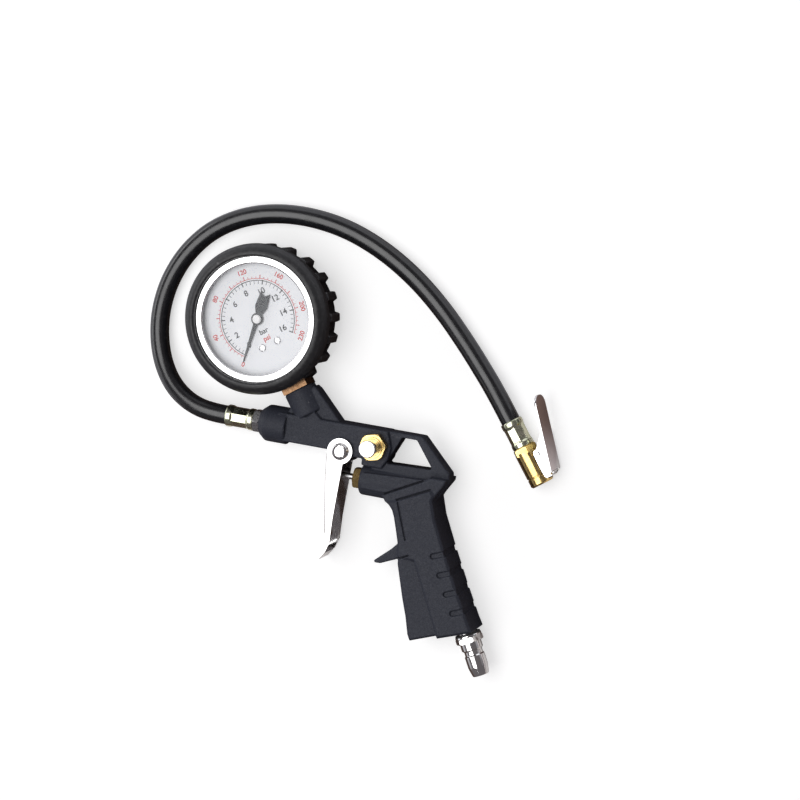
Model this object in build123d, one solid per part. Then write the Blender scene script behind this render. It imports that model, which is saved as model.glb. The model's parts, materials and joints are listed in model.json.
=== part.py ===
"""Tyre inflator with a dial gauge, lying on its side on a flat surface.

Every shape is built in the layout frame: X runs along the barrel towards the grip, Y towards the
gauge, Z out of the gauge's face, with the trigger rivet on the Z axis and the gun's mid-plane at
Z = 0.  TO_ROW then moves it to the row frame, whose origin is the middle of the footprint.
"""
from build123d import *
from math import atan2, cos, degrees, hypot, pi, radians, sin, tan
import os

# ---------------------------------------------------------------- driving dimensions (mm)
REST_Z = -12.5  # the surface the tool lies on, in the layout frame
TO_ROW = Vector(0, 1.67, -REST_Z)  # layout frame to row frame

BARREL_Y = 7.3  # height of the barrel's axis above the rivet
BARREL_HALF = 7.0  # half the barrel's thickness
FRAME_HALF = 5.0  # half thickness of the rear frame around the triangle
GRIP_HALF = 12.5  # half thickness of the grip
PANEL_HALF = 11.6  # half thickness of the grip's lowered front panel
HOOK_HALF = 10.9  # half thickness of the finger hook
SHOULDER_HALF = 11.2  # half thickness where the valve housing runs into the grip
HOUSING_Y = -12.7  # axis of the main valve's housing
HOUSING_R = 8.2
HOUSING_FRONT = 11.0
HOUSING_FLAT = 8.0  # half width over the housing's flat sides
PASSAGE_R = 2.6  # air passages inside the casting

OUTLET_X = -47.0  # end of the hose boss
GAUGE_TURN = 125.0  # direction of the gauge's stem from the barrel, degrees from +X
BOSS_TOP = Vector(-28.8, 27.4, 0)  # top face of the gauge boss, on its axis
BOSS_R = 8.5
BOSS_LENGTH = 14.3
GAUGE_REACH = 41.0  # gauge centre to boss top

BOOT_R = 34.8
RIDGE_R = 38.4
RIDGE_COUNT = 21
BOOT_FRONT = 20.0
CASE_R = 33.6
CASE_BACK = -9.6
CASE_FRONT = 14.6
DIAL_Z = 11.4
DIAL_THICK = 0.5
WINDOW_R = 28.6

RIVET_Y = 0.5
RIVET_R = 2.5
CHEEK_INNER = 7.7
CHEEK_OUTER = 8.9
TRIGGER_R = 6.7  # round ear of the trigger's cheek

BLEED_X = 17.0  # pressure release valve on the barrel's side
BLEED_Y = 5.7
PLUG_BASE = Vector(77.4, -81.5, 0)
PLUG_TURN = -63.0  # direction of the inlet plug, degrees from +X

HOSE_D = 10.0
HOSE_LOW = REST_Z + HOSE_D / 2 + 0.02  # centre of a hose that lies on the surface
HOSE_EXIT_X = -66.0
CHUCK_BASE = Vector(82.8, 29.05, -5.7)  # start of the chuck's ferrule
CHUCK_TURN = -53.6  # direction of the chuck, degrees from +X
CHUCK_ROLL = 10.0  # how far the clip lever is rolled up from the surface
SOCKET_R = 4.2  # bore that takes a tyre valve

RUN = 0.05  # radial clearance of a running fit

HOSE_ROUTE = [
    (HOSE_EXIT_X, BARREL_Y, 0.0),
    (-76.5, BARREL_Y, 0.0),
    (-88.5, 10.3, -0.7),
    (-99.5, 17.2, -2.8),
    (-107.8, 28.0, -5.4),
    (-112.6, 41.3, -7.2),
    (-113.6, 56.5, HOSE_LOW),
    (-110.2, 73.0, HOSE_LOW),
    (-102.0, 89.0, HOSE_LOW),
    (-88.5, 103.0, HOSE_LOW),
    (-69.0, 112.6, HOSE_LOW),
    (-45.5, 116.2, HOSE_LOW),
    (-20.5, 113.6, HOSE_LOW),
    (2.0, 105.4, HOSE_LOW),
    (22.0, 93.5, HOSE_LOW),
    (39.2, 79.2, HOSE_LOW),
    (53.8, 64.0, HOSE_LOW),
    (64.9, 51.5, -6.9),
    (74.2, 40.72, CHUCK_BASE.Z),
    (CHUCK_BASE.X, CHUCK_BASE.Y, CHUCK_BASE.Z),
]


# ---------------------------------------------------------------- shape helpers
def save(shape, name):
    """Write one node, moved to the row frame."""
    export_step(Location(TO_ROW) * shape, f"parts/{name}.step")


def heading(turn):
    """Unit vector in the XY plane at an angle from +X."""
    return Vector(cos(radians(turn)), sin(radians(turn)), 0)


def outline(points, radius=0):
    """Closed face through XY points, with its corners rounded if asked."""
    face = make_face(Polyline(*points, close=True))
    if radius:
        face = fillet(face.vertices(), radius)
    return face


def slab(face, half, edge=0):
    """Face extruded to +-half, with its outer rims chamfered if asked."""
    solid = extrude(face, amount=half, both=True)
    if edge:
        rims = solid.edges().filter_by_position(Axis.Z, half - 0.01, half + 0.01)
        rims += solid.edges().filter_by_position(Axis.Z, -half - 0.01, -half + 0.01)
        solid = chamfer(rims, edge)
    return solid


def rod(start, direction, radius, length):
    """Cylinder that grows from start along direction."""
    plane = Plane(origin=start, z_dir=direction)
    return plane * Cylinder(radius, length, align=(Align.CENTER, Align.CENTER, Align.MIN))


def hexagon(start, direction, across, length, edge=0.5, x_dir=None):
    """Hexagonal prism with its corners turned off at both ends."""
    plane = Plane(origin=start, z_dir=direction, x_dir=x_dir)
    prism = extrude(RegularPolygon(across / 3**0.5, 6), amount=length)
    crown = across / 3**0.5
    blank = Cylinder(crown, length, align=(Align.CENTER, Align.CENTER, Align.MIN))
    blank = chamfer(blank.edges(), edge)
    return plane * (prism & blank)


def turned(profile, start, direction, x_dir=None):
    """Solid of revolution: profile is (radius, distance along direction) corners."""
    face = Plane.XZ * make_face(Polyline(*profile, close=True))
    plane = Plane(origin=start, z_dir=direction, x_dir=x_dir)
    return plane * revolve(face, Axis.Z)


def ring(start, direction, outer, inner, length):
    """Plain washer or sleeve."""
    return rod(start, direction, outer, length) - rod(start, direction, inner, length)


def coil(start, direction, radius, wire, pitch, length):
    """Helical spring with its end turns inside its length."""
    path = Helix(pitch=pitch, height=length - wire, radius=radius)
    section = Plane(origin=path @ 0, z_dir=path % 0) * Circle(wire / 2)
    plane = Plane(origin=start, z_dir=direction)
    return plane * (Pos(0, 0, wire / 2) * sweep(section, path=path, is_frenet=True))


# ---------------------------------------------------------------- the casting
PLUG_DIR = heading(PLUG_TURN)
GAUGE_DIR = heading(GAUGE_TURN)
GAUGE_CENTRE = BOSS_TOP + GAUGE_DIR * GAUGE_REACH
UP = Vector(0, 0, 1)
ALONG = Vector(1, 0, 0)
CHAMBER_END = 38.0  # bottom of the main valve's bore
VALVE_BORE_R = 6.0
BLEED_BORE_R = 6.0
BLEED_FLOOR = -1.0


def barrel():
    """Flat-sided barrel with the block that ties it to the valve housing."""
    face = outline(
        [
            (-36, 0), (-6, 0), (-3.5, -4.6), (3.5, -4.6), (6.5, -1.5), (11.2, -1.5),
            (11.2, -4.9), (22, -4.9), (25, 0.5), (25.8, 6), (23, 14.7), (-36, 14.7),
        ],
        0.8,
    )
    return slab(face, BARREL_HALF, 0.5)


def hose_boss():
    """Round boss with a coned nose, where the hose screws in."""
    profile = [
        (0, 0), (6.2, 0), (7.0, 0.6), (9.4, 3.6), (9.6, 5), (9.6, 14.8), (9.2, 15.4), (0, 15.4),
    ]
    return turned(profile, (OUTLET_X, BARREL_Y, 0), ALONG)


def gauge_boss():
    """Boss for the gauge's stem, with the web that braces it."""
    boss = rod(BOSS_TOP - GAUGE_DIR * BOSS_LENGTH, GAUGE_DIR, BOSS_R, BOSS_LENGTH)
    boss = chamfer(boss.edges().filter_by(GeomType.CIRCLE), 0.6)
    root = outline([(-33, 8), (-31.5, 17.5), (-20.2, 31), (-18, 29.6), (-3.5, 14.8), (-5, 8)])
    peak = outline([(-23, 13), (-17.2, 18), (-12.5, 14), (-16, 10)])
    return boss + slab(root, 4.8, 0.6) + slab(peak, BARREL_HALF, 0.4)


def rear_frame():
    """Thin frame behind the barrel with its triangular window."""
    outer = outline(
        [(16, 14.8), (41, 14.8), (57.6, -1.8), (58.2, -6.5), (52, -17), (30, -17), (16, -6)], 1.6
    )
    window = outline([(23.6, -2.1), (30.4, 12.5), (38.3, 12.5), (48.6, -1.2)], 0.9)
    return slab(outer, FRAME_HALF, 0.6) - slab(window, FRAME_HALF + 1)


def valve_housing():
    """Flat-sided tube that holds the main valve, and its shoulder at the grip."""
    length = 26
    tube = rod((HOUSING_FRONT, HOUSING_Y, 0), ALONG, HOUSING_R, length)
    tube = fillet(tube.faces().sort_by(Axis.X)[0].edges(), 1.6)
    flat = outline([(13, -16.5), (27.3, -16.9), (46.4, -6.4), (44, -6.6), (13, -8.2)])
    shoulder = outline(
        [(25.2, -17.6), (47.2, -5.9), (49, -4.4), (57.6, -4.4), (57.4, -6.5), (51.6, -16), (36, -26),
         (27.5, -20.3)]
    )
    return tube + slab(flat, HOUSING_FLAT, 0.4) + slab(shoulder, SHOULDER_HALF, 0.6)


def finger_slots():
    """Four short grooves that wrap round the rear edge of the grip."""
    width = 3.0
    depth = 1.0
    cuts = []
    for index in range(4):
        left = Vector(56.9 + 4.72 * index, -43.4 - 9.02 * index, 0)
        run = Plane(origin=left, x_dir=heading(22), z_dir=UP)
        bar = Pos(12, 0, 0) * Box(24, width, 2 * GRIP_HALF + 2) + Cylinder(width / 2, 2 * GRIP_HALF + 2)
        core = Pos(0.4, 0, 0) * Box(10.0, 2 * width, 2 * (GRIP_HALF - depth))
        cuts.append(run * (bar - core))
    return cuts


def grip():
    """Pistol grip: main block, lowered front panel, finger hook and wrap-round grooves."""
    main = outline(
        [
            (27.3, -20.1), (33.8, -18.4), (50.8, -10), (53.2, -13.2), (52.2, -15.4), (55, -24.6),
            (62.6, -40.8), (71.7, -59), (79.8, -74.2), (82.3, -78.3), (79.4, -79.6), (64.6, -85.0),
            (47, -48), (38, -48), (37.2, -40), (35.5, -34), (33.4, -27.2), (32.0, -24),
            (29.9, -21.6),
        ]
    )
    panel = outline(
        [(38.3, -46), (49, -48), (65.3, -83.2), (50.4, -89), (48.8, -86), (46.5, -77), (43.5, -68),
         (38.6, -51)]
    )
    hook = outline(
        [(42, -37), (37.4, -40.3), (34.2, -44), (24.6, -52.6), (29.5, -52.4), (36.6, -49.2), (46, -45)]
    )
    hook = fillet(hook.vertices().sort_by(Axis.X)[0], 0.8)
    body = slab(main, GRIP_HALF, 1.2) + slab(panel, PANEL_HALF, 1.0) + slab(hook, HOOK_HALF, 0.5)
    for cut in finger_slots():
        body -= cut
    return body


def creases():
    """Narrow moulded-in lines on both sides of the casting."""
    lines = [
        ((25.7, -17.3), (46.4, -6.4), HOUSING_FLAT - 1.4),
        ((33.4, -18.7), (50.8, -10.2), SHOULDER_HALF - 1.3),
        ((36.5, -49.0), (44.3, -45.3), GRIP_HALF - 1.9),
        ((34.6, -19.0), (41.4, -38.0), GRIP_HALF - 0.9),
    ]
    width = 0.9
    cuts = []
    for start, end, floor in lines:
        middle = ((start[0] + end[0]) / 2, (start[1] + end[1]) / 2, 0)
        length = hypot(end[0] - start[0], end[1] - start[1])
        turn = degrees(atan2(end[1] - start[1], end[0] - start[0]))
        height = GRIP_HALF + 1 - floor
        for side in (1, -1):
            bar = Box(length, width, height)
            cuts.append(Pos(middle[0], middle[1], side * (floor + height / 2)) * Rot(0, 0, turn) * bar)
    return cuts


def air_ways():
    """Threaded holes and drilled passages inside the casting."""
    inlet_x = PLUG_BASE.X - (HOUSING_Y - PLUG_BASE.Y) / tan(radians(-PLUG_TURN))
    elbow = Vector(inlet_x, HOUSING_Y, 0)
    inlet_length = (PLUG_BASE - elbow).length
    return [
        rod((OUTLET_X - 1, BARREL_Y, 0), ALONG, 4.9, 12),
        rod((OUTLET_X, BARREL_Y, 0), ALONG, PASSAGE_R, BLEED_X - OUTLET_X),
        rod(BOSS_TOP + GAUGE_DIR, -GAUGE_DIR, 6.6, 11.4),
        rod(BOSS_TOP, -GAUGE_DIR, PASSAGE_R, 24),
        rod((BLEED_X, BLEED_Y, BLEED_FLOOR), UP, BLEED_BORE_R, 20),
        rod((BLEED_X, BLEED_Y, -4.8), UP, 4.0, 6),
        rod((HOUSING_FRONT - 1, HOUSING_Y, 0), ALONG, VALVE_BORE_R, CHAMBER_END - HOUSING_FRONT + 1),
        rod((CHAMBER_END - 1, HOUSING_Y, 0), ALONG, PASSAGE_R, inlet_x - CHAMBER_END + 1),
        rod((BLEED_X + 1, HOUSING_Y, 0), Vector(0, 1, 0), PASSAGE_R, BARREL_Y - HOUSING_Y),
        rod(elbow, PLUG_DIR, PASSAGE_R, inlet_length),
        rod(PLUG_BASE + PLUG_DIR * 4, -PLUG_DIR, 5.0, 14),
        rod((0, RIVET_Y, -20), UP, RIVET_R + RUN, 40),
    ]


def gun_body():
    """One casting: barrel, bosses, frame, valve housing and grip."""
    body = barrel() + hose_boss() + gauge_boss() + rear_frame() + valve_housing() + grip()
    for cut in creases() + air_ways():
        body -= cut
    return body


# ---------------------------------------------------------------- inlet plug
def inlet_plug():
    """Male quick-connect plug with a thread that screws into the grip."""
    profile = [
        (1.9, -9), (4.4, -9), (4.95, -8.4), (4.95, 0.9), (6.9, 0.9), (6.9, 1.9), (6.2, 1.9), (6.2, 3.9),
        (5.6, 3.9), (5.6, 8.4), (4.75, 9.2), (4.75, 11.2), (5.25, 11.9), (5.25, 17.4), (4.5, 21.4),
        (4.1, 22.4), (1.9, 22.4),
    ]
    body = turned(profile, PLUG_BASE, PLUG_DIR)
    return body + (hexagon(PLUG_BASE + PLUG_DIR * 1.9, PLUG_DIR, 13.0, 2.8, 0.5)
                   - rod(PLUG_BASE, PLUG_DIR, 5.0, 8))


def inlet_seal():
    """Flat washer between the plug's collar and the grip."""
    return ring(PLUG_BASE + PLUG_DIR * 0.02, PLUG_DIR, 6.6, 5.0, 0.86)


# ---------------------------------------------------------------- outlet hose tail
def hose_tail():
    """Steel tail: thread in the boss, hexagon, and a spigot inside the hose."""
    bore = SPIGOT_BORE_R
    thread = turned(
        [(bore, -2), (4.8, -2), (4.8, 10), (4.2, 10.6), (bore, 10.6)], (OUTLET_X, BARREL_Y, 0), ALONG
    )
    nut = hexagon((-50.6, BARREL_Y, 0), ALONG, 11.0, 3.5, 0.5) - rod((-52, BARREL_Y, 0), ALONG, bore, 10)
    spigot = ring((HOSE_EXIT_X, BARREL_Y, 0), ALONG, SPIGOT_R, bore, SPIGOT_LENGTH)
    return thread + nut + spigot


SPIGOT_R = 3.2  # tail that the hose is pushed on
SPIGOT_BORE_R = 1.7
SPIGOT_LENGTH = 16.0
FERRULE_WALL = 1.2


def ferrule_profile(length):
    """Half section of a crimped ferrule, from the hose end (0) to the closed end."""
    inner = HOSE_D / 2 + 0.02
    neck = SPIGOT_R + 0.1
    return [
        (inner, 0), (5.5, 0), (5.75, 0.6), (5.75, 3.0), (5.3, 3.9), (5.3, length - 3.4),
        (5.7, length - 2.6), (5.7, length - 0.4), (5.4, length), (neck, length),
        (neck, length - FERRULE_WALL), (inner, length - FERRULE_WALL),
    ]


def hose_sleeve(length):
    """Hose end squeezed between spigot and ferrule: half section, from the ferrule's mouth."""
    end = length - FERRULE_WALL - 0.05
    return [(SPIGOT_R + 0.02, 0.02), (HOSE_D / 2, 0.02), (HOSE_D / 2, end), (SPIGOT_R + 0.02, end)]


# ---------------------------------------------------------------- trigger
def trigger_lever():
    """Pressed channel: two cheeks, a front web and a tip that curls forward."""
    cheek = outline(
        [
            (-7.2, -2), (-6.5, -13), (-5.2, -24), (-4.0, -33), (-2.6, -44), (-3.6, -50), (-7.4, -56.4),
            (-6.6, -58.2), (-4.4, -57.4), (-1.2, -52.6), (0.6, -47.4), (0.6, -35), (1.1, -24),
            (1.7, -12), (2.0, -6.4), (2.0, -2),
        ]
    )
    ear = Pos(-0.35, RIVET_Y) * Circle(TRIGGER_R)
    blank = slab(cheek + ear, CHEEK_OUTER)
    inner = outline(
        [
            (-6.0, 12), (-6.0, -3), (-5.3, -13), (-4.0, -24), (-2.8, -33), (-1.4, -44), (-2.5, -50),
            (-4.6, -53.6), (6, -53.6), (12, -20), (12, 12),
        ]
    )
    blank -= slab(inner, CHEEK_INNER)
    head = outline([(-12, -1.2), (12, -1.2), (12, 14), (-12, 14)])
    blank -= slab(head, CHEEK_INNER)
    front = blank.edges().filter_by_position(Axis.X, -8.2, -2.4).filter_by_position(Axis.Y, -46, -1.5)
    bends = front.filter_by_position(Axis.Z, CHEEK_OUTER - 0.01, CHEEK_OUTER + 0.01)
    bends += front.filter_by_position(Axis.Z, -CHEEK_OUTER - 0.01, -CHEEK_OUTER + 0.01)
    blank = chamfer(bends, 0.5)
    return blank - rod((0, RIVET_Y, -20), UP, RIVET_R + RUN, 40)


def trigger_rivet():
    """Rivet with two domed heads, held in the casting."""
    head_start = CHEEK_OUTER + 0.25
    shank = rod((0, RIVET_Y, -head_start), UP, RIVET_R, 2 * head_start)
    dome = [(0, 0), (4.4, 0), (4.4, 1.0), (3.9, 1.7), (2.4, 2.2), (0, 2.3)]
    near = turned(dome, (0, RIVET_Y, head_start), UP)
    far = turned(dome, (0, RIVET_Y, -head_start), -UP)
    return shank + near + far


# ---------------------------------------------------------------- main valve
STEM_R = 1.6
STEM_TIP_X = -3.45  # centre of the stem's rounded nose
GLAND_END = 24.0
POPPET_X = GLAND_END + 0.05


def valve_gland():
    """Screwed-in brass cartridge that guides the stem and carries the seat."""
    start = (7.0, HOUSING_Y, 0)
    nut = hexagon(start, ALONG, 10.0, 4.0, 0.5)
    shank = rod((HOUSING_FRONT, HOUSING_Y, 0), ALONG, VALVE_BORE_R - 0.02, GLAND_END - HOUSING_FRONT)
    shank -= ring((16.4, HOUSING_Y, 0), ALONG, 7, 4.9, 3.4)
    shank -= rod((18, HOUSING_Y, -8), UP, 1.5, 16)
    bore = rod((0, HOUSING_Y, 0), ALONG, STEM_R + RUN, 30)
    groove = rod((13.0, HOUSING_Y, 0), ALONG, 3.05, 2.1)
    port = rod((16.6, HOUSING_Y, 0), ALONG, 2.9, 10)
    return nut + shank - bore - groove - port


def stem_o_ring():
    """O-ring that seals the stem in the gland."""
    return Plane(origin=(14.05, HOUSING_Y, 0), z_dir=ALONG) * Torus(2.33, 0.65)


def valve_stem():
    """Pin from the trigger's web to the poppet."""
    start = (STEM_TIP_X, HOUSING_Y, 0)
    return rod(start, ALONG, STEM_R, 33 - STEM_TIP_X) + Pos(*start) * Sphere(STEM_R)


def valve_poppet():
    """Brass carrier disc behind the seal."""
    profile = [(STEM_R, 2.0), (4.6, 2.0), (4.6, 3.4), (3.0, 3.8), (3.0, 5.2), (STEM_R, 5.2)]
    return turned(profile, (POPPET_X, HOUSING_Y, 0), ALONG)


def poppet_seal():
    """Rubber face of the poppet."""
    return ring((POPPET_X, HOUSING_Y, 0), ALONG, 4.5, STEM_R, 2.0)


def valve_spring():
    """Compression spring that shuts the main valve."""
    start = POPPET_X + 3.55
    return coil((start, HOUSING_Y, 0), ALONG, 4.3, 0.8, 2.4, CHAMBER_END - start - 0.05)


# ---------------------------------------------------------------- pressure release valve
NUT_TOP = 11.0
BUTTON_R = 4.5
BUTTON_TOP = 20.0
BLEED_PIN_R = 1.2


def bleed_nut():
    """Brass hexagon cartridge that guides the button."""
    start = Vector(BLEED_X, BLEED_Y, BARREL_HALF)
    nut = hexagon(start, UP, 13.0, NUT_TOP - BARREL_HALF, 0.7, x_dir=heading(14))
    neck = rod(start, UP, 5.4, 4.9)
    shank = rod((BLEED_X, BLEED_Y, BLEED_FLOOR), UP, BLEED_BORE_R - 0.02, BARREL_HALF - BLEED_FLOOR)
    bore = rod((BLEED_X, BLEED_Y, 1.0), UP, BUTTON_R + RUN, 20)
    hole = rod((BLEED_X, BLEED_Y, -5), UP, BLEED_PIN_R + RUN, 20)
    return nut + neck + shank - bore - hole


def bleed_button():
    """Plated push button with its pin."""
    cap = rod((BLEED_X, BLEED_Y, 6.0), UP, BUTTON_R, BUTTON_TOP - 6.0)
    cap = fillet(cap.faces().sort_by(Axis.Z)[-1].edges(), 0.7)
    return cap + rod((BLEED_X, BLEED_Y, -2.5), UP, BLEED_PIN_R, 9)


def bleed_seal():
    """Rubber disc that shuts the release valve from inside."""
    return ring((BLEED_X, BLEED_Y, -2.4), UP, 3.2, BLEED_PIN_R, 1.35)


def bleed_spring():
    """Spring under the button."""
    return coil((BLEED_X, BLEED_Y, 1.05), UP, 3.0, 0.6, 1.5, 4.85)


# ---------------------------------------------------------------- gauge shell
DIAL = Plane(origin=GAUGE_CENTRE, x_dir=heading(GAUGE_TURN - 90), z_dir=UP)
STEM_HALF = 7.0  # half of the stem's square
SCREW_SPOTS = [(-4.5, -14.4), (4.5, -14.4)]


def gauge_boot():
    """Rubber cover with ridges round the back half and a rolled front rim."""
    profile = [
        (0, REST_Z), (32.4, REST_Z), (34.1, REST_Z + 0.8), (BOOT_R, REST_Z + 2.6),
        (BOOT_R, 8.4), (38.3, 10), (38.9, 12.5), (38.6, 15.5), (37.2, 18.2), (35.2, 19.7),
        (33.6, BOOT_FRONT), (32.7, 19.6), (32.4, 18.8), (32.4, 17.1), (34.65, 17.1),
        (34.65, 10.4), (CASE_R + 0.02, 10.4), (CASE_R + 0.02, CASE_BACK), (0, CASE_BACK),
    ]
    boot = turned(profile, (0, 0, 0), UP)
    root = 0.8
    width = RIDGE_R - BOOT_R + root
    ridge = Pos(RIDGE_R - width / 2, 0, 0.6) * Box(width, 5.8, 15)
    ridge = chamfer(ridge.edges().filter_by(Axis.Z).sort_by(Axis.X)[-2:], 1.5)
    for index in range(RIDGE_COUNT):
        boot += Rot(0, 0, 360 / RIDGE_COUNT * (index + 0.5)) * ridge
    window = 2 * STEM_HALF + 0.6
    return DIAL * (boot - Pos(0, -36, 0) * Box(window, 12, window))


def gauge_case():
    """Pressed steel cup."""
    wall = 0.9
    profile = [
        (0, CASE_BACK), (CASE_R, CASE_BACK), (CASE_R, CASE_FRONT), (CASE_R - wall, CASE_FRONT),
        (CASE_R - wall, CASE_BACK + wall), (0, CASE_BACK + wall),
    ]
    case = turned(profile, (0, 0, 0), UP)
    return DIAL * (case - Pos(0, -32, 0) * Box(2 * STEM_HALF, 12, 2 * STEM_HALF))


def gauge_bezel():
    """Plated ring that holds the lens on the case."""
    profile = [
        (WINDOW_R, 16.5), (WINDOW_R + 0.5, 17.05), (34.1, 17.05), (34.6, 16.6), (34.6, 10.5),
        (CASE_R + 0.02, 10.5), (CASE_R + 0.02, 16.15), (WINDOW_R, 16.15),
    ]
    return DIAL * turned(profile, (0, 0, 0), UP)


def gauge_lens():
    """Clear window."""
    return DIAL * rod((0, 0, CASE_FRONT + 0.02), UP, CASE_R - 0.1, 1.5)


def lens_gasket():
    """Seal ring under the lens, inside the case."""
    foot = DIAL_Z + DIAL_THICK + 0.02
    return DIAL * ring((0, 0, foot), UP, CASE_R - 0.95, 31.2, CASE_FRONT - foot)


def gauge_dial():
    """Printed face."""
    disc = ring((0, 0, DIAL_Z), UP, CASE_R - 1.0, 1.6, DIAL_THICK)
    for x, y in SCREW_SPOTS:
        disc -= rod((x, y, DIAL_Z - 1), UP, 1.05, 3)
    return DIAL * disc


def dial_screws():
    """Two slotted screws that hold the dial to the movement's posts."""
    top = DIAL_Z + DIAL_THICK
    screws = []
    for x, y in SCREW_SPOTS:
        head = turned([(0, 0.02), (2.0, 0.02), (1.9, 0.35), (1.2, 0.58), (0, 0.62)], (x, y, top), UP)
        slot = Pos(x, y, top + 0.62) * Rot(0, 0, 20 * x) * Box(5, 0.5, 0.6)
        screws.append(rod((x, y, top - 2.9), UP, 1.0, 2.95) + head - slot)
    return DIAL * Compound(children=screws)


def gauge_stem():
    """Square brass stem: thread in the boss, flats outside, socket block inside the case."""
    flats = Pos(0, -(GAUGE_REACH + 31) / 2, 0) * Box(2 * STEM_HALF, GAUGE_REACH - 31, 2 * STEM_HALF)
    thread = rod((0, -GAUGE_REACH - 9.5, 0), Vector(0, 1, 0), 6.55, 10)
    block = Pos(0, -25.8, -2.5) * Box(2 * STEM_HALF, 12.6, 7)
    way = rod((0, -GAUGE_REACH - 10, 0), Vector(0, 1, 0), 1.6, 27)
    return DIAL * (flats + thread + block - way - tube_envelope())


def stem_seal():
    """Sealing washer in the bottom of the gauge boss."""
    return DIAL * ring((0, -GAUGE_REACH - 10.35, 0), Vector(0, 1, 0), 6.5, 3.0, 0.8)


# ---------------------------------------------------------------- gauge movement
TUBE_R = 24.0  # bend radius of the Bourdon tube
TUBE_START = -100.0  # angle where it leaves the socket block
TUBE_SWEEP = 255.0  # clockwise round to its tip
TUBE_TIP = TUBE_START - TUBE_SWEEP
SHAFT_R = 0.7
MODULE = 0.25
PINION_TEETH = 12
SECTOR_TEETH = 96
SECTOR_COUNT = 13  # teeth that are really cut on the sector
ARBOR = Vector(0, -MODULE * (PINION_TEETH + SECTOR_TEETH) / 2, 0)
TAIL_R = 6.5  # arbor to link pin
TAIL_TURN = -15.0
GEAR_Z = 4.0
GEAR_THICK = 1.2
PLATE_LOW = 1.02
PLATE_HIGH = 7.0
PLATE_THICK = 0.8
PILLARS = [(-4.8, -19.0), (4.8, -19.0), (-4.8, 3.2), (4.8, 3.2)]


def bent_bar(width, height, start, angle):
    """Flat bar bent round the gauge's axis, turned clockwise from start."""
    section = Plane.XZ * Pos(TUBE_R, 0) * Rectangle(width, height)
    return Rot(0, 0, start) * revolve(section, Axis.Z, -angle)


def tube_envelope():
    """Outside of the Bourdon tube."""
    return bent_bar(2.8, 7.0, TUBE_START, TUBE_SWEEP)


def bourdon_tube():
    """Flattened tube that straightens a little as the pressure rises."""
    return DIAL * (tube_envelope() - bent_bar(2.0, 6.2, TUBE_START, TUBE_SWEEP))


def bourdon_tip():
    """Cap brazed on the tube's closed end, with a lug for the link."""
    return DIAL * bent_bar(3.4, 7.6, TUBE_TIP - 0.05, 7)


def plate(z):
    """Movement plate with rounded ends."""
    face = outline([(-6.4, -21.6), (6.4, -21.6), (6.4, 4.8), (-6.4, 4.8)], 1.5)
    blank = Pos(0, 0, z) * extrude(face, amount=PLATE_THICK)
    for spot in [(0, 0), (ARBOR.X, ARBOR.Y)]:
        blank -= rod((spot[0], spot[1], z - 1), UP, SHAFT_R + RUN, 3)
    return blank


def movement_frame():
    """Lower plate with four pillars, screwed to the socket block."""
    frame = plate(PLATE_LOW)
    for x, y in PILLARS:
        frame += rod((x, y, PLATE_LOW), UP, 1.0, PLATE_HIGH - PLATE_LOW - 0.01)
    return DIAL * frame


def movement_top():
    """Upper plate with two posts for the dial."""
    top = plate(PLATE_HIGH)
    foot = PLATE_HIGH + PLATE_THICK
    for x, y in SCREW_SPOTS:
        top += rod((x, y, foot - 0.4), UP, 1.8, DIAL_Z - foot + 0.4 - 0.01)
        top -= rod((x, y, foot + 0.2), UP, 1.02, 5)
    return DIAL * top


def movement_screws():
    """Four cheese-head screws on the pillars."""
    heads = [rod((x, y, PLATE_HIGH + PLATE_THICK + 0.01), UP, 1.3, 0.9) for x, y in PILLARS]
    return DIAL * Compound(children=heads)


def tooth(pitch_r):
    """Slim trapezium tooth along +X."""
    thick = pi * MODULE
    root = pitch_r - 1.4 * MODULE
    tip = pitch_r + 0.85 * MODULE
    face = outline(
        [(root, -0.24 * thick), (pitch_r, -0.18 * thick), (tip, -0.08 * thick),
         (tip, 0.08 * thick), (pitch_r, 0.18 * thick), (root, 0.24 * thick)]
    )
    return Pos(0, 0, GEAR_Z) * slab(face, GEAR_THICK / 2)


def pointer_shaft():
    """Shaft with the pinion that turns the pointer."""
    pitch_r = MODULE * PINION_TEETH / 2
    shaft = rod((0, 0, 0.4), UP, SHAFT_R, 13.3)
    shaft += Pos(0, 0, GEAR_Z) * Cylinder(pitch_r - 1.2 * MODULE, GEAR_THICK)
    for index in range(PINION_TEETH):
        shaft += Rot(0, 0, 360 / PINION_TEETH * (index + 0.5)) * tooth(pitch_r)
    return DIAL * shaft


def sector_gear():
    """Toothed sector on its arbor, with a tail and pin for the link."""
    pitch_r = MODULE * SECTOR_TEETH / 2
    root = pitch_r - 1.2 * MODULE
    step = 360 / SECTOR_TEETH
    low = 90 - step * (SECTOR_COUNT - 1.5)
    high = 90 + step * 1.5
    wedge = outline(
        [(0, 0)] + [(20 * cos(radians(a)), 20 * sin(radians(a))) for a in (low, high)]
    )
    disc = Pos(0, 0, GEAR_Z) * (Cylinder(root, GEAR_THICK) & slab(wedge, GEAR_THICK))
    sector = disc + Pos(0, 0, GEAR_Z) * Cylinder(2.4, GEAR_THICK)
    for index in range(SECTOR_COUNT):
        sector += Rot(0, 0, 90 + step * (1 - index)) * tooth(pitch_r)
    tail = Rot(0, 0, TAIL_TURN) * Pos(TAIL_R / 2, 0, GEAR_Z) * Box(TAIL_R, 2.6, GEAR_THICK)
    pin = Rot(0, 0, TAIL_TURN) * Pos(TAIL_R, 0, 0)
    sector += tail + pin * Pos(0, 0, GEAR_Z) * Cylinder(1.3, GEAR_THICK)
    sector += pin * rod((0, 0, GEAR_Z), UP, 0.6, 2.1)
    sector += rod((0, 0, 0.4), UP, SHAFT_R, 7.6)
    return DIAL * (Location(ARBOR) * sector)


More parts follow.
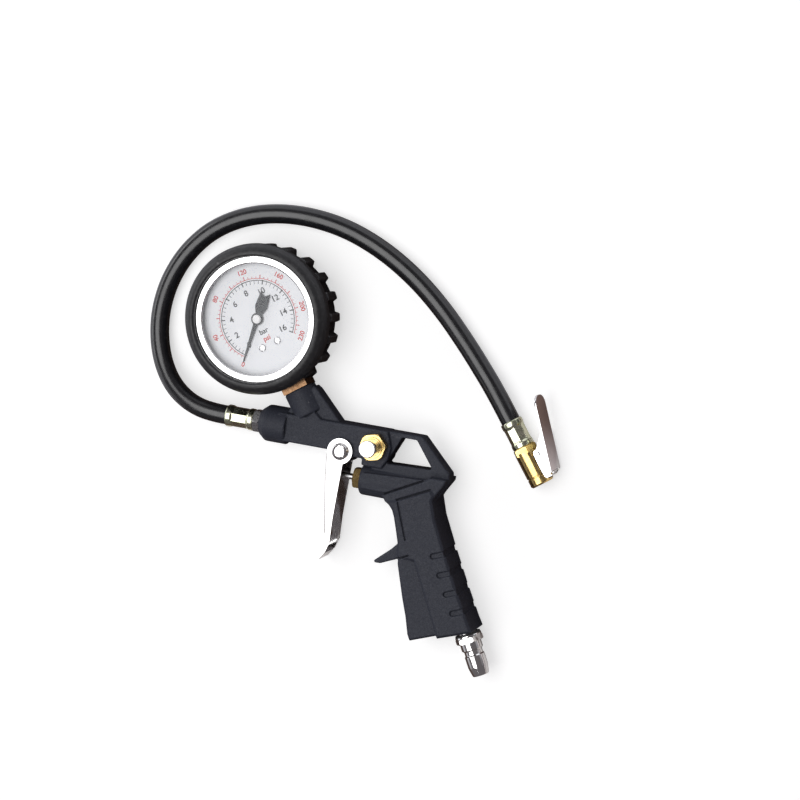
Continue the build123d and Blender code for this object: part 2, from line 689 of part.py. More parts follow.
def link_bar():
    """Flat link from the sector's tail towards the tube's tip."""
    start = ARBOR + heading(TAIL_TURN) * TAIL_R
    end = heading(TUBE_TIP) * TUBE_R
    run = end - start
    turn = degrees(atan2(run.Y, run.X))
    bar = Pos(run.length / 2, 0, 5.2) * Box(run.length, 1.6, 0.6)
    bar += Pos(0, 0, 5.2) * Cylinder(1.3, 0.6) + Pos(run.length, 0, 5.2) * Cylinder(1.3, 0.6)
    bar -= Cylinder(0.6 + RUN, 20)
    return DIAL * (Location(start) * Rot(0, 0, turn) * bar)


def hair_spring():
    """Flat spiral that takes up the play of the gears."""
    width = 0.2
    step = 0.35  # growth in radius over half a turn
    halves = []
    for index in range(8):
        radius = 1.3 + step * index
        odd = index % 2
        band = Circle(radius + width / 2) - Circle(radius - width / 2)
        keep = Pos(0, 10 - 20 * odd, 0) * Rectangle(30, 20)
        halves.append(Pos(-step / 2 * odd, 0, 0) * (band & keep))
    spiral = halves[0].fuse(*halves[1:])
    return DIAL * (Pos(0, 0, 9.0) * extrude(spiral, amount=0.6))


# ---------------------------------------------------------------- pointer
POINTER_TURN = -136.0  # rest direction in the dial's plane: the zero mark
POINTER_Z = 12.7


def gauge_pointer():
    """Slim blade towards the scale and a broad fishtail behind."""
    face = outline(
        [(-14.2, -2.6), (-12.2, 0), (-14.2, 2.6), (-6.5, 3.3), (-2.2, 1.5), (3, 1.2), (23.5, 0.25),
         (23.5, -0.25), (3, -1.2), (-2.2, -1.5), (-6.5, -3.3)]
    )
    blade = extrude(face, amount=0.4) + Cylinder(3.2, 0.4, align=(Align.CENTER, Align.CENTER, Align.MIN))
    blade -= Cylinder(SHAFT_R, 5)
    return DIAL * (Rot(0, 0, POINTER_TURN) * Pos(0, 0, POINTER_Z) * blade)


def pointer_hub():
    """Cap pressed on the end of the shaft."""
    cap = turned([(0, 0.42), (2.3, 0.42), (2.3, 1.0), (1.9, 1.45), (0, 1.5)], (0, 0, POINTER_Z), UP)
    return DIAL * (cap - rod((0, 0, 0), UP, SHAFT_R, 13.7))


# ---------------------------------------------------------------- chuck
LEVER_SIDE = Vector(
    cos(radians(CHUCK_ROLL)) * cos(radians(CHUCK_TURN + 90)),
    cos(radians(CHUCK_ROLL)) * sin(radians(CHUCK_TURN + 90)),
    sin(radians(CHUCK_ROLL)),
)
CHUCK = Plane(origin=CHUCK_BASE, x_dir=heading(CHUCK_TURN), z_dir=LEVER_SIDE)
FERRULE_LENGTH = 14.6
CHUCK_END = 35.5
SOCKET_DEPTH = 9.0
SOCKET_FLOOR = CHUCK_END - SOCKET_DEPTH
LEVER_PIN_X = 20.8
LEVER_PIN_Z = 7.2
LEVER_PIN_R = 1.0
CORE_PIN_R = 1.1


def chuck_ferrule():
    """Crimped sleeve on the chuck's end of the hose."""
    return CHUCK * turned(ferrule_profile(FERRULE_LENGTH), (0, 0, 0), ALONG)


def chuck_hose_end():
    """Hose end squeezed between spigot and ferrule."""
    return CHUCK * turned(hose_sleeve(FERRULE_LENGTH), (0, 0, 0), ALONG)


def chuck_body():
    """Brass body: spigot, hexagon, lug for the lever, and the socket for the tyre valve."""
    spigot = ring((0, 0, 0), ALONG, SPIGOT_R, SPIGOT_BORE_R, SPIGOT_LENGTH)
    nut = hexagon((FERRULE_LENGTH + 0.02, 0, 0), ALONG, 11.6, 3.9, 0.5)
    barrel_part = turned(
        [(0, 17), (6.2, 17), (6.2, 30.3), (5.8, 30.5), (5.8, 31.0), (6.2, 31.2), (6.2, 34.6),
         (5.4, CHUCK_END), (0, CHUCK_END)], (0, 0, 0), ALONG
    )
    lug = Pos(LEVER_PIN_X, 0, 6.6) * Box(4.4, 4.8, 4.6)
    lug = chamfer(lug.edges().filter_by(Axis.Y).sort_by(Axis.Z)[-2:], 1.2)
    seat = Pos(LEVER_PIN_X + 0.2, 0, 7.2) * Box(4.8, 14, 4)
    body = spigot + nut + (barrel_part - seat) + lug
    body -= rod((SOCKET_FLOOR, 0, 0), ALONG, SOCKET_R, 20)
    body -= rod((17.5, 0, 0), ALONG, 3.0, 10)
    body -= rod((0, 0, 0), ALONG, SPIGOT_BORE_R, 20)
    body -= Pos(32.95, 0, 6) * Box(2.8, 5.2, 6)
    body -= Pos(LEVER_PIN_X, 0, LEVER_PIN_Z) * Rot(90, 0, 0) * Cylinder(LEVER_PIN_R, 20)
    return CHUCK * body


def chuck_seal():
    """Rubber ring that seals on the valve's rim."""
    return CHUCK * ring((SOCKET_FLOOR - 1.98, 0, 0), ALONG, 2.98, 1.9, 1.96)


def core_pin():
    """Pin that pushes the valve core open."""
    body = rod((19.2, 0, 0), ALONG, CORE_PIN_R, 7.2) + rod((20.4, 0, 0), ALONG, 2.6, 1.0)
    return CHUCK * body


def core_spring():
    """Spring behind the pin's collar."""
    return CHUCK * coil((17.55, 0, 0), ALONG, 2.1, 0.5, 0.9, 2.8)


def lever_pin():
    """Cross pin pressed into the lug."""
    pin = Rot(90, 0, 0) * Cylinder(LEVER_PIN_R, 13.2)
    heads = Rot(90, 0, 0) * (Pos(0, 0, 6.85) * Cylinder(1.5, 0.5) + Pos(0, 0, -6.85) * Cylinder(1.5, 0.5))
    return CHUCK * (Pos(LEVER_PIN_X, 0, LEVER_PIN_Z) * (pin + heads))


def lever_spring():
    """Torsion spring on the pin, one coil each side of the lug."""
    coils = [
        coil((LEVER_PIN_X, side * 3.65 - 0.85, LEVER_PIN_Z), Vector(0, 1, 0), 1.6, 0.5, 0.55, 1.7)
        for side in (1, -1)
    ]
    return CHUCK * Compound(children=coils)


def chuck_lever():
    """Pressed clip lever: thumb plate, two cheeks on the pin, and a jaw at the mouth."""
    inner = 5.35
    outer = inner + 0.9
    side = Plane.XZ
    web = [(-5.4, 20.4), (32.0, 10.0), (31.73, 9.04), (-5.67, 19.44)]
    cheek = [(11.0, 15.84), (32.0, 10.0), (34.0, 6.5), (32.8, 5.4), (27.8, 5.2), (22, 5.3), (18.9, 6.0),
             (18.4, 8.2), (14.2, 12.2)]
    jaw = [(31.0, 10.28), (32.3, 9.9), (33.9, 7.6), (33.9, 4.35), (32.4, 4.35), (32.0, 5.3),
           (32.8, 7.2), (30.8, 9.3)]

    def across(points, low, high):
        face = side * make_face(Polyline(*points, close=True))
        return Pos(0, high, 0) * extrude(face, amount=high - low, dir=(0, -1, 0))

    thumb = across(web, -outer, outer)
    along_web = Plane(origin=(13.3, 0, 15.2), x_dir=(-37.4, 0, 10.4), z_dir=(10.4, 0, 37.4))
    blade = outline([(-30, -outer), (19.2, -outer), (19.2, outer), (-30, outer)], 5.2)
    thumb &= along_web * slab(blade, 6)
    cheeks = across(cheek, inner, outer) + across(cheek, -outer, -inner)
    claw = across(jaw, -2.3, 2.3)
    lever = thumb + cheeks + claw
    lever -= Pos(LEVER_PIN_X, 0, LEVER_PIN_Z) * Rot(90, 0, 0) * Cylinder(LEVER_PIN_R + RUN, 20)
    return CHUCK * lever


# ---------------------------------------------------------------- hose
GUN_FERRULE_LENGTH = 15.2


def gun_ferrule():
    """Crimped sleeve on the gun's end of the hose."""
    return turned(ferrule_profile(GUN_FERRULE_LENGTH), (HOSE_EXIT_X, BARREL_Y, 0), ALONG)


def gun_hose_end():
    """Hose end squeezed between spigot and ferrule."""
    return turned(hose_sleeve(GUN_FERRULE_LENGTH), (HOSE_EXIT_X, BARREL_Y, 0), ALONG)


def hose_radii(route):
    """Bend radius at each corner: 0.45 of the shorter run over the tangent of half the turn."""
    points = [Vector(*p) for p in route]
    radii = []
    for before, here, after in zip(points, points[1:], points[2:]):
        turn = (here - before).get_angle(after - here)
        shorter = min((here - before).length, (after - here).length)
        radii.append(0.45 * shorter / tan(radians(turn) / 2))
    return radii


def hose():
    """Free stretch of the hose, laid in one open sweep round the gauge."""
    radii = hose_radii(HOSE_ROUTE)
    path = FilletPolyline(*HOSE_ROUTE, radius=radii)
    section = Plane(origin=path @ 0, z_dir=path % 0) * Circle(HOSE_D / 2)
    tube = sweep(section, path=path)
    print("hose radii (mm):", [round(r, 1) for r in radii])
    print("hose length (mm):", round(path.length, 1))
    print("hose volume over section x length:", round(tube.volume / (pi * HOSE_D**2 / 4 * path.length), 4))
    return tube


# ---------------------------------------------------------------- write the nodes
def main():
    """Write one STEP file for each piece."""
    os.makedirs("parts", exist_ok=True)
    makers = [
        gun_body, inlet_plug, inlet_seal, hose_tail, gun_ferrule, gun_hose_end, hose,
        trigger_lever, trigger_rivet,
        valve_gland, stem_o_ring, valve_stem, valve_poppet, poppet_seal, valve_spring,
        bleed_nut, bleed_button, bleed_seal, bleed_spring,
        gauge_boot, gauge_case, gauge_bezel, gauge_lens, lens_gasket, gauge_dial, dial_screws,
        gauge_stem, stem_seal, bourdon_tube, bourdon_tip,
        movement_frame, movement_top, movement_screws, pointer_shaft, sector_gear, link_bar,
        hair_spring, gauge_pointer, pointer_hub,
        chuck_ferrule, chuck_hose_end, chuck_body, chuck_seal, core_pin, core_spring,
        lever_pin, lever_spring, chuck_lever,
    ]
    for maker in makers:
        save(maker(), maker.__name__)


main()
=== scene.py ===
"""Looks of a tyre inflator with a dial gauge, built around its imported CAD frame.

Lengths are metres in the row frame.  Sizes in millimetres say so and go through MM.
"""
import json
from math import cos, hypot, pi, radians, sin, tau

import bmesh
import bpy
from mathutils import Matrix, Vector


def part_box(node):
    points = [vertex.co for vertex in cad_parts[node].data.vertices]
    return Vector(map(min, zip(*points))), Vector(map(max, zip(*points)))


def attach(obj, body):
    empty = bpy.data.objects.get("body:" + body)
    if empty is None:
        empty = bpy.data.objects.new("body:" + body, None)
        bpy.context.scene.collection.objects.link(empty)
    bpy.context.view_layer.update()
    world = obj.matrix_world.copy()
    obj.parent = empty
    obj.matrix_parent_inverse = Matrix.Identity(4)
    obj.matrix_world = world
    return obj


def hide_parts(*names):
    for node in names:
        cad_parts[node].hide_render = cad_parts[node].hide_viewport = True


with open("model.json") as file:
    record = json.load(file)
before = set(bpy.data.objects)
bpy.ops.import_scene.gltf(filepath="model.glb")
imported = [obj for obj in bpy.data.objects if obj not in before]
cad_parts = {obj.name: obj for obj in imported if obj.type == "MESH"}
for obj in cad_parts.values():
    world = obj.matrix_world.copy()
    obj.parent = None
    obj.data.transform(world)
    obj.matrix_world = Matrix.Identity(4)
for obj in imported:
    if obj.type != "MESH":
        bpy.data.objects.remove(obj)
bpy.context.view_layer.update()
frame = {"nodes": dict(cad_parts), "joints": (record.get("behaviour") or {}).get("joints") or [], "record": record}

MM = 0.001
NODES = frame["nodes"]
JOINTS = {joint["name"]: joint for joint in frame["joints"]}
DRAWING_ORIGIN = Vector((0, 0.00167, 0.0125))  # mid-plane, 0.5 mm in -Y of the trigger's axis

# ---------------------------------------------------------------- camera
CAMERA_EYE = Vector((0.3253, 0.1793, 1.0955))
CAMERA_AIM = Vector((0.0252, 0.0324, 0.0125))
CAMERA_TOP = radians(98.1)  # heading on the floor that points straight up in the picture
CAMERA_LENS = 99.96
SENSOR_WIDTH = 36


def make_camera():
    """Long lens above the tool, a little to the side of the grip."""
    back = (CAMERA_EYE - CAMERA_AIM).normalized()
    right = Vector((cos(CAMERA_TOP), sin(CAMERA_TOP), 0)).cross(back).normalized()
    up = back.cross(right)
    turn = Matrix((right, up, back)).transposed().to_4x4()
    data = bpy.data.cameras.new("camera")
    data.lens = CAMERA_LENS
    data.sensor_width = SENSOR_WIDTH
    camera = bpy.data.objects.new("camera", data)
    camera.matrix_world = Matrix.Translation(CAMERA_EYE) @ turn
    bpy.context.collection.objects.link(camera)
    bpy.context.scene.camera = camera


make_camera()

# ---------------------------------------------------------------- hose
HOSE_D = 0.010
HOSE_LOW = -0.00748  # the hose's axis where it lies on the floor, from the drawing's mid-plane
HOSE_SIDE_STEPS = 14
HOSE_SPAN_STEPS = 20
HOSE_ROUTE = [
    (-0.0660, 0.0073, 0.0),
    (-0.0765, 0.0073, 0.0),
    (-0.0885, 0.0103, -0.0007),
    (-0.0995, 0.0172, -0.0028),
    (-0.1078, 0.0280, -0.0054),
    (-0.1126, 0.0413, -0.0072),
    (-0.1136, 0.0565, HOSE_LOW),
    (-0.1102, 0.0730, HOSE_LOW),
    (-0.1020, 0.0890, HOSE_LOW),
    (-0.0885, 0.1030, HOSE_LOW),
    (-0.0690, 0.1126, HOSE_LOW),
    (-0.0455, 0.1162, HOSE_LOW),
    (-0.0205, 0.1136, HOSE_LOW),
    (0.0020, 0.1054, HOSE_LOW),
    (0.0220, 0.0935, HOSE_LOW),
    (0.0392, 0.0792, HOSE_LOW),
    (0.0538, 0.0640, HOSE_LOW),
    (0.0649, 0.0515, -0.0069),
    (0.0742, 0.04072, -0.0057),
    (0.0828, 0.02905, -0.0057),
]


def make_hose():
    """Rubber hose as one NURBS curve from the gun's ferrule to the chuck's."""
    curve = bpy.data.curves.new("hose_rubber", "CURVE")
    curve.dimensions = "3D"
    curve.bevel_depth = 1.0  # times each point's own radius
    curve.bevel_resolution = HOSE_SIDE_STEPS
    curve.use_fill_caps = True
    spline = curve.splines.new("NURBS")
    spline.points.add(len(HOSE_ROUTE) - 1)
    for point, place in zip(spline.points, HOSE_ROUTE):
        point.co = (*(Vector(place) + DRAWING_ORIGIN), 1)
        point.radius = HOSE_D / 2
    spline.order_u = 3
    spline.use_endpoint_u = True
    spline.resolution_u = HOSE_SPAN_STEPS
    piece = bpy.data.objects.new("hose_rubber", curve)
    bpy.context.collection.objects.link(piece)
    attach(piece, "gun")
    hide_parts("hose")
    return piece


hose = make_hose()


# ---------------------------------------------------------------- floor, light
FLOOR_REACH = 6.0
FLOOR_GAP = 0.00005  # keeps the floor just clear of what lies on it
FLOOR_SEEN = (0.6, 0.6, 0.6)
FLOOR_GLOW = 0.6
# Floor colours as the tool sees them: bright outside the hose's bend, painted shade inside it with painted pale
# spots, and a warm painted shadow beyond the chuck.
FLOOR_PAINTED_SHADE, FLOOR_PALE, FLOOR_BRIGHT = (0.11, 0.08, 0.07), (0.8, 0.77, 0.75), (0.95, 0.95, 1.0)
WARM_PALE, WARM_PAINTED_SHADOW = (0.95, 0.86, 0.86), (0.22, 0.15, 0.13)
BEND_CENTRE = (-0.03, 0.03, 0)
BEND_EDGE = (0.086, 0.102)  # from inside to outside the hose's bend
TOWARDS_TOP = (-0.35, 0.94, 0)
TOP_EDGE = (0.01, 0.025)
WARM_FADE = (-0.045, 0.0)
TOWARDS_CHUCK = (0.805, 0.593, 0)
CHUCK_NEAR = (0.085, 0.091)
CHUCK_FAR = (0.0985, 0.1005)
SPOT_CORE = 0.6  # share of a pale spot before it fades
# painted pale spots in the painted shade inside the hose's bend
PAINTED_PALE_SPOTS = [  # floor beside the plug, the gun's ferrule and the trigger's tip
    ((0.115, -0.095, 0), 0.032),
    ((-0.062, -0.014, 0), 0.018),
    ((0.004, -0.064, 0), 0.018),
]


def floor_paint():
    """White where it is looked at.  As a light on the tool it is bright outside the hose's bend,
    and carries painted shade inside it but for painted pale spots.  Beyond the chuck it carries a
    warm painted shadow that fades from dark to pale towards the grip's end."""
    paint = bpy.data.materials.new("floor_paint")
    paint.use_nodes = True
    nodes, links = paint.node_tree.nodes, paint.node_tree.links
    nodes.remove(nodes["Principled BSDF"])

    def node(kind, **settings):
        made = nodes.new(kind)
        for key, value in settings.items():
            setattr(made, key, value)
        return made

    def ramp(source, low, high):
        made = node("ShaderNodeMapRange", interpolation_type="SMOOTHSTEP")
        made.inputs["From Min"].default_value = low
        made.inputs["From Max"].default_value = high
        links.new(source, made.inputs["Value"])
        return made.outputs[0]

    def blend(factor, first, second):
        made = node("ShaderNodeMix", data_type="RGBA")
        links.new(factor, made.inputs["Factor"])
        for key, value in (("A", first), ("B", second)):
            if isinstance(value, tuple):
                made.inputs[key].default_value = (*value, 1)
            else:
                links.new(value, made.inputs[key])
        return made.outputs["Result"]

    place = node("ShaderNodeTexCoord").outputs["Object"]

    def measure(operation, vector):
        made = node("ShaderNodeVectorMath", operation=operation)
        links.new(place, made.inputs[0])
        made.inputs[1].default_value = vector
        return made.outputs["Value"]

    from_bend = measure("DISTANCE", BEND_CENTRE)
    towards_top = measure("DOT_PRODUCT", TOWARDS_TOP)
    past_chuck = measure("DOT_PRODUCT", TOWARDS_CHUCK)
    outside = node("ShaderNodeMath", operation="MULTIPLY")
    links.new(ramp(from_bend, *BEND_EDGE), outside.inputs[0])
    links.new(ramp(towards_top, *TOP_EDGE), outside.inputs[1])
    # warm painted shadow beyond the chuck, fading from dark to pale towards the grip's end
    warm = blend(ramp(towards_top, *WARM_FADE), WARM_PALE, WARM_PAINTED_SHADOW)
    # painted shade inside the hose's bend, lifted by painted pale spots
    inside = FLOOR_PAINTED_SHADE
    for spot, size in PAINTED_PALE_SPOTS:
        inside = blend(ramp(measure("DISTANCE", spot), SPOT_CORE * size, size), FLOOR_PALE, inside)
    beside_chuck = blend(ramp(past_chuck, *CHUCK_NEAR), inside, FLOOR_PALE)
    beyond = blend(ramp(past_chuck, *CHUCK_FAR), beside_chuck, warm)
    lit = node("ShaderNodeBsdfDiffuse")
    links.new(blend(outside.outputs[0], beyond, FLOOR_BRIGHT), lit.inputs["Color"])
    seen = node("ShaderNodeBsdfDiffuse")
    seen.inputs["Color"].default_value = (*FLOOR_SEEN, 1)
    glow = node("ShaderNodeEmission")
    glow.inputs["Strength"].default_value = FLOOR_GLOW
    whole = node("ShaderNodeAddShader")
    links.new(seen.outputs[0], whole.inputs[0])
    links.new(glow.outputs[0], whole.inputs[1])
    choice = node("ShaderNodeMixShader")
    links.new(node("ShaderNodeLightPath").outputs["Is Camera Ray"], choice.inputs[0])
    links.new(lit.outputs[0], choice.inputs[1])
    links.new(whole.outputs[0], choice.inputs[2])
    links.new(choice.outputs[0], nodes["Material Output"].inputs["Surface"])
    return paint


def make_stage():
    """Plain pale floor, which holds painted shade in what the tool sees of it."""
    mesh = bpy.data.meshes.new("floor")
    signs = [(-1, -1), (1, -1), (1, 1), (-1, 1)]
    corners = [(x * FLOOR_REACH, y * FLOOR_REACH, -FLOOR_GAP) for x, y in signs]
    mesh.from_pydata(corners, [], [(0, 1, 2, 3)])
    floor = bpy.data.objects.new("floor", mesh)
    bpy.context.collection.objects.link(floor)
    mesh.materials.append(floor_paint())


SKY_DARK, SKY_BRIGHT = (0.13, 0.12, 0.125), (0.95, 0.96, 1.0)
SKY_HEIGHT = (0.48, 0.30)  # from the dark top down to the bright band, as a direction's Z
SKY_SIDE = (-0.5, 0.87, 0)
SKY_SIDE_EDGE = (-0.35, 0.25)


def make_sky():
    """World light: a bright band low on the left and at the far side, dark elsewhere."""
    world = bpy.data.worlds.new("studio")
    world.use_nodes = True
    bpy.context.scene.world = world
    nodes, links = world.node_tree.nodes, world.node_tree.links
    background = nodes["Background"]
    place = nodes.new("ShaderNodeTexCoord").outputs["Generated"]
    split = nodes.new("ShaderNodeSeparateXYZ")
    links.new(place, split.inputs[0])
    side = nodes.new("ShaderNodeVectorMath")
    side.operation = "DOT_PRODUCT"
    links.new(place, side.inputs[0])
    side.inputs[1].default_value = SKY_SIDE
    both = nodes.new("ShaderNodeMath")
    both.operation = "MULTIPLY"
    measured = ((split.outputs["Z"], SKY_HEIGHT), (side.outputs["Value"], SKY_SIDE_EDGE))
    for factor, (source, edge) in zip(both.inputs, measured):
        ramp = nodes.new("ShaderNodeMapRange")
        ramp.interpolation_type = "SMOOTHSTEP"
        ramp.inputs["From Min"].default_value, ramp.inputs["From Max"].default_value = edge
        links.new(source, ramp.inputs["Value"])
        links.new(ramp.outputs[0], factor)
    mix = nodes.new("ShaderNodeMix")
    mix.data_type = "RGBA"
    mix.inputs["A"].default_value = (*SKY_DARK, 1)
    mix.inputs["B"].default_value = (*SKY_BRIGHT, 1)
    links.new(both.outputs[0], mix.inputs["Factor"])
    links.new(mix.outputs["Result"], background.inputs["Color"])


def soft_box(name, place, target, size, power):
    """Rectangular soft light at place, turned to target."""
    data = bpy.data.lights.new(name, "AREA")
    data.shape = "RECTANGLE"
    data.size, data.size_y = size
    data.energy = power
    lamp = bpy.data.objects.new(name, data)
    lamp.location = place
    lamp.rotation_mode = "QUATERNION"
    lamp.rotation_quaternion = (Vector(target) - Vector(place)).to_track_quat("-Z", "Y")
    bpy.context.collection.objects.link(lamp)


make_stage()
make_sky()
soft_box("top_light", (-0.37, -0.05, 1.4), (-0.37, -0.05, 0), (1.14, 1.6), 15.5)
soft_box("left_light", (-1.0, 0.25, 0.35), (0, 0.02, 0), (0.9, 0.3), 1.6)
view = bpy.context.scene.view_settings
view.view_transform = "Standard"
view.look = "None"


# ---------------------------------------------------------------- materials
class Surface:
    """One material: a Principled shader and the nodes that feed it."""

    def __init__(self, name, colour, roughness, metallic=0.0):
        self.material = bpy.data.materials.new(name)
        self.material.use_nodes = True
        tree = self.material.node_tree
        self.nodes, self.links = tree.nodes, tree.links
        self.shader = self.nodes["Principled BSDF"]
        self.set("Base Color", (*colour, 1))
        self.set("Roughness", roughness)
        self.set("Metallic", metallic)
        self.place = self.add("ShaderNodeTexCoord").outputs["Object"]
        self.normal = None

    def add(self, kind, **settings):
        node = self.nodes.new(kind)
        for key, value in settings.items():
            setattr(node, key, value)
        return node

    def set(self, socket, value):
        self.shader.inputs[socket].default_value = value

    def feed(self, socket, source):
        self.links.new(source, self.shader.inputs[socket])

    def stretched(self, stretch, place=None):
        """Coordinates, the object's unless given, with each axis scaled."""
        node = self.add("ShaderNodeMapping")
        node.inputs["Scale"].default_value = stretch
        self.links.new(place or self.place, node.inputs["Vector"])
        return node.outputs[0]

    def noise(self, size, detail=4.0, roughness=0.5, place=None, distortion=0.0):
        """Cloudy pattern whose lumps are about size metres wide."""
        node = self.add("ShaderNodeTexNoise")
        node.inputs["Scale"].default_value = 1 / size
        node.inputs["Detail"].default_value = detail
        node.inputs["Roughness"].default_value = roughness
        node.inputs["Distortion"].default_value = distortion
        self.links.new(place or self.place, node.inputs["Vector"])
        return node.outputs[0]

    def span(self, source, low, high, to_low=0.0, to_high=1.0):
        """Map low..high of a value to to_low..to_high."""
        node = self.add("ShaderNodeMapRange")
        limits = {"From Min": low, "From Max": high, "To Min": to_low, "To Max": to_high}
        for key, value in limits.items():
            node.inputs[key].default_value = value
        self.links.new(source, node.inputs["Value"])
        return node.outputs[0]

    def math(self, operation, first, second):
        node = self.add("ShaderNodeMath", operation=operation)
        for socket, value in zip(node.inputs, (first, second)):
            if isinstance(value, (int, float)):
                socket.default_value = value
            else:
                self.links.new(value, socket)
        return node.outputs[0]

    def mix(self, factor, first, second):
        """Colour between first and second; each is a colour or a socket."""
        node = self.add("ShaderNodeMix", data_type="RGBA")
        self.links.new(factor, node.inputs["Factor"])
        for key, value in (("A", first), ("B", second)):
            if isinstance(value, tuple):
                node.inputs[key].default_value = (*value, 1)
            else:
                self.links.new(value, node.inputs[key])
        return node.outputs["Result"]

    def bump(self, height, distance, strength=1.0):
        """Raise the surface by height times distance, on top of earlier bumps."""
        node = self.add("ShaderNodeBump")
        node.inputs["Distance"].default_value = distance
        node.inputs["Strength"].default_value = strength
        self.links.new(height, node.inputs["Height"])
        if self.normal:
            self.links.new(self.normal, node.inputs["Normal"])
        self.normal = node.outputs[0]
        self.feed("Normal", self.normal)

    def worn_edges(self, low=0.52, high=0.60):
        """1 on sharp outer edges and 0 elsewhere, broken up by noise."""
        point = self.add("ShaderNodeNewGeometry").outputs["Pointiness"]
        edge = self.span(point, low, high)
        return self.math("MULTIPLY", edge, self.span(self.noise(0.0016), 0.45, 0.62))

    def hollows(self, low=0.40, high=0.49):
        """1 in creases and inner corners, where shade is painted, and 0 elsewhere."""
        point = self.add("ShaderNodeNewGeometry").outputs["Pointiness"]
        return self.span(point, low, high, 1.0, 0.0)


def coated_casting():
    """Fine textured powder coat, blue-black: paler on worn edges, with painted shade in its creases."""
    s = Surface("powder_coat", (0.04, 0.042, 0.052), 0.5)
    fleck = s.span(s.noise(0.00045, 2.0, 0.6), 0.35, 0.7)
    cloud = s.span(s.noise(0.009, 3.0), 0.3, 0.7)
    grain = s.mix(fleck, (0.021, 0.0235, 0.034), (0.047, 0.051, 0.068))
    toned = s.mix(s.math("MULTIPLY", cloud, 0.35), grain, (0.027, 0.029, 0.042))
    worn = s.mix(s.worn_edges(), toned, (0.085, 0.086, 0.10))
    # painted shade: near-black in creases and inner corners
    s.feed("Base Color", s.mix(s.hollows(), worn, (0.005, 0.005, 0.007)))
    s.feed("Roughness", s.span(s.noise(0.0011, 3.0), 0.3, 0.7, 0.46, 0.66))
    s.set("Specular IOR Level", 0.27)
    s.bump(s.noise(0.0012, 2.0), 0.00009)
    s.bump(s.noise(0.00038, 3.0, 0.6), 0.00008)
    return s.material


def chrome():
    """Bright plating with faint ripples, smudges and hairline scratches."""
    s = Surface("chrome_plating", (0.86, 0.86, 0.87), 0.08, 1.0)
    smudge = s.span(s.noise(0.004, 4.0, 0.6), 0.4, 0.75, 0.05, 0.17)
    hair = s.span(s.noise(0.0006, 4.0, 0.7, s.stretched((1, 0.05, 1))), 0.55, 0.8, 0.0, 0.12)
    s.feed("Roughness", s.math("ADD", smudge, hair))
    s.feed("Base Color", s.mix(s.span(s.noise(0.003), 0.3, 0.7), (0.82, 0.82, 0.83), (0.90, 0.89, 0.88)))
    s.bump(s.noise(0.005, 1.0), 0.00006)
    s.bump(s.noise(0.0007, 3.0), 0.000004)
    return s.material


def steel():
    """Plain zinc-plated steel with drawn streaks."""
    s = Surface("zinc_steel", (0.55, 0.55, 0.56), 0.3, 1.0)
    streak = s.noise(0.0008, 4.0, 0.6, s.stretched((1, 1, 0.1)))
    s.feed("Roughness", s.span(streak, 0.3, 0.7, 0.22, 0.42))
    s.feed("Base Color", s.mix(streak, (0.42, 0.42, 0.43), (0.66, 0.66, 0.67)))
    s.bump(streak, 0.00001)
    return s.material


def bezel_plating():
    """Polished ring with fine turning marks."""
    s = Surface("polished_bezel", (0.92, 0.92, 0.92), 0.14, 1.0)
    s.feed("Roughness", s.span(s.noise(0.0012, 4.0), 0.3, 0.7, 0.1, 0.22))
    s.feed("Base Color", s.mix(s.noise(0.004), (0.88, 0.88, 0.89), (0.96, 0.96, 0.95)))
    s.bump(s.noise(0.0009, 3.0), 0.000005)
    return s.material


def brass(name, bright, dull, roughness):
    """Machined brass with tool marks and a little tarnish."""
    s = Surface(name, bright, roughness, 1.0)
    tarnish = s.span(s.noise(0.003, 5.0, 0.6), 0.42, 0.72)
    s.feed("Base Color", s.mix(tarnish, bright, dull))
    s.feed("Roughness", s.span(s.noise(0.002, 4.0), 0.3, 0.75, roughness * 0.7, roughness * 1.5))
    s.bump(s.noise(0.00035, 3.0, 0.6), 0.000006)
    s.bump(s.noise(0.0015, 2.0), 0.00002)
    return s.material


def ferrule_zinc():
    """Zinc with a pale yellow passivation that shifts towards green."""
    s = Surface("yellow_zinc", (0.80, 0.78, 0.58), 0.18, 1.0)
    cloud = s.span(s.noise(0.0028, 4.0, 0.6, distortion=0.6), 0.35, 0.7)
    s.feed("Base Color", s.mix(cloud, (0.86, 0.84, 0.66), (0.66, 0.72, 0.50)))
    s.feed("Roughness", s.span(s.noise(0.0015, 4.0), 0.3, 0.7, 0.12, 0.3))
    s.bump(s.noise(0.0008, 3.0), 0.000012)
    return s.material


def hose_rubber():
    """Extruded black rubber: glossy, with faint lines along its length."""
    s = Surface("hose_skin", (0.012, 0.012, 0.014), 0.28)
    along = s.stretched((1.2, 60, 1), s.add("ShaderNodeTexCoord").outputs["UV"])
    lines = s.noise(1.0, 3.0, 0.6, along)
    dust = s.span(s.noise(0.0022, 5.0, 0.65), 0.5, 0.78)
    s.feed("Base Color", s.mix(dust, (0.010, 0.010, 0.012), (0.028, 0.028, 0.031)))
    s.feed("Roughness", s.span(s.noise(0.006, 4.0, 0.6), 0.3, 0.7, 0.17, 0.28))
    s.set("Specular IOR Level", 0.75)
    s.bump(lines, 0.00003)
    s.bump(s.noise(0.0005, 3.0), 0.00001)
    return s.material


